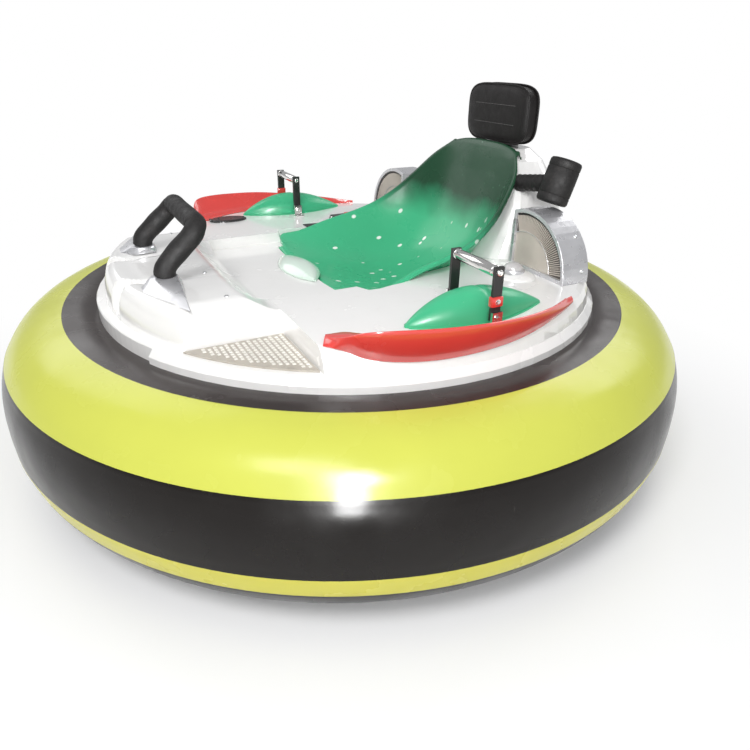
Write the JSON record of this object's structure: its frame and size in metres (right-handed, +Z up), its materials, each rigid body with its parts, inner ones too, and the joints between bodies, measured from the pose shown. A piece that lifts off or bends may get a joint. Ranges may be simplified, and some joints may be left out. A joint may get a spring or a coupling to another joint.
{
  "type": "inflatable ring bumper car",
  "caption": "Electric fairground bumper car with an inflated ring bumper, bucket seat, two steering levers, drive wheels and casters.",
  "frame": {"origin": "on the floor under the centre of the ring bumper", "axes": "+Z up, -Y to the front of the car, +X to the rider's left"},
  "size_m": [1.9, 1.9, 0.981],
  "materials": {
    "tube_vinyl": "glossy inflated vinyl, black with yellow bands",
    "white_gelcoat": "polished fibreglass gelcoat",
    "green_gelcoat": "polished fibreglass gelcoat",
    "pale_gelcoat": "polished fibreglass gelcoat",
    "red_gelcoat": "polished fibreglass gelcoat",
    "black_vinyl": "stitched vinyl leather over foam",
    "black_foam": "closed-cell foam sleeve",
    "black_plastic": "moulded",
    "chrome": "plated",
    "black_steel": "powder coated",
    "silver_paint": "satin silver paint",
    "grille_grey": "moulded louvres",
    "tread_plate": "non-slip chequer",
    "lamp_lens": "frosted lens",
    "battery_case": "moulded",
    "motor_paint": "enamel",
    "zinc_plate": "zinc plated",
    "frame_steel": "chassis paint",
    "tyre_rubber": "solid rubber"
  },
  "bodies": {
    "root": {"battery_tray": "frame_steel", "belt_buckle": "black_plastic", "bumper_tube": "tube_vinyl", "centre_body": "white_gelcoat", "charging_socket": "black_plastic", "chassis_ring": "frame_steel", "deck_shell": "white_gelcoat", "front_battery_bar": "frame_steel", "front_caster_bar": "frame_steel", "front_caster_plate": "zinc_plate", "front_console": "white_gelcoat", "grab_bar": "black_foam", "headrest_bracket": "black_steel", "headrest_pad": "black_vinyl", "left_battery": "battery_case", "left_chassis_rail": "frame_steel", "left_drive_motor": "motor_paint", "left_fan_grille": "grille_grey", "left_fan_housing": "silver_paint", "left_grab_bar_socket": "silver_paint", "left_inner_lever_bracket": "chrome", "left_lever_cover": "green_gelcoat", "left_marker_lamp": "lamp_lens", "left_outer_lever_bracket": "chrome", "left_red_panel": "red_gelcoat", "left_shoulder_arm": "black_steel", "left_shoulder_roll": "black_foam", "left_tread_plate": "tread_plate", "rear_battery_bar": "frame_steel", "rear_caster_bar": "frame_steel", "rear_caster_plate": "zinc_plate", "rear_cowl": "white_gelcoat", "right_battery": "battery_case", "right_chassis_rail": "frame_steel", "right_drive_motor": "motor_paint", "right_fan_grille": "grille_grey", "right_fan_housing": "silver_paint", "right_grab_bar_socket": "silver_paint", "right_inner_lever_bracket": "chrome", "right_lever_cover": "green_gelcoat", "right_marker_lamp": "lamp_lens", "right_outer_lever_bracket": "chrome", "right_red_panel": "red_gelcoat", "right_tread_plate": "tread_plate", "seat_bucket": "green_gelcoat", "seat_pommel": "pale_gelcoat"},
    "left_drive_wheel": {"left_drive_hub": "zinc_plate", "left_drive_tyre": "tyre_rubber"},
    "right_drive_wheel": {"right_drive_hub": "zinc_plate", "right_drive_tyre": "tyre_rubber"},
    "front_caster_swivel": {"front_caster_fork": "zinc_plate"},
    "rear_caster_swivel": {"rear_caster_fork": "zinc_plate"},
    "front_caster_roller": {"front_caster_wheel": "tyre_rubber"},
    "rear_caster_roller": {"rear_caster_wheel": "tyre_rubber"},
    "left_lever": {"left_lever_frame": "black_steel", "left_lever_grip": "chrome"},
    "right_lever": {"right_lever_frame": "black_steel", "right_lever_grip": "chrome"}
  },
  "joints": [
    {"name": "left_wheel_spin", "type": "hinge", "parent": "root", "child": "left_drive_wheel", "pos_m": [0.4, 0, 0.1], "axis": [1, 0, 0], "continuous": true},
    {"name": "right_wheel_spin", "type": "hinge", "parent": "root", "child": "right_drive_wheel", "pos_m": [-0.4, 0, 0.1], "axis": [1, 0, 0], "continuous": true},
    {"name": "front_caster_turn", "type": "hinge", "parent": "root", "child": "front_caster_swivel", "pos_m": [0, -0.4, 0.14], "axis": [0, 0, 1], "continuous": true},
    {"name": "front_caster_spin", "type": "hinge", "parent": "front_caster_swivel", "child": "front_caster_roller", "pos_m": [0, -0.374, 0.04], "axis": [1, 0, 0], "continuous": true},
    {"name": "rear_caster_turn", "type": "hinge", "parent": "root", "child": "rear_caster_swivel", "pos_m": [0, 0.4, 0.14], "axis": [0, 0, 1], "continuous": true},
    {"name": "rear_caster_spin", "type": "hinge", "parent": "rear_caster_swivel", "child": "rear_caster_roller", "pos_m": [0, 0.426, 0.04], "axis": [1, 0, 0], "continuous": true},
    {"name": "left_lever_tilt", "type": "hinge", "parent": "root", "child": "left_lever", "pos_m": [0.571, 0.04, 0.5575], "axis": [1, 0, 0], "range_deg": [-20, 20], "stiffness_Nm_per_rad": 6},
    {"name": "right_lever_tilt", "type": "hinge", "parent": "root", "child": "right_lever", "pos_m": [-0.571, 0.04, 0.5575], "axis": [1, 0, 0], "range_deg": [-20, 20], "stiffness_Nm_per_rad": 6}
  ]
}
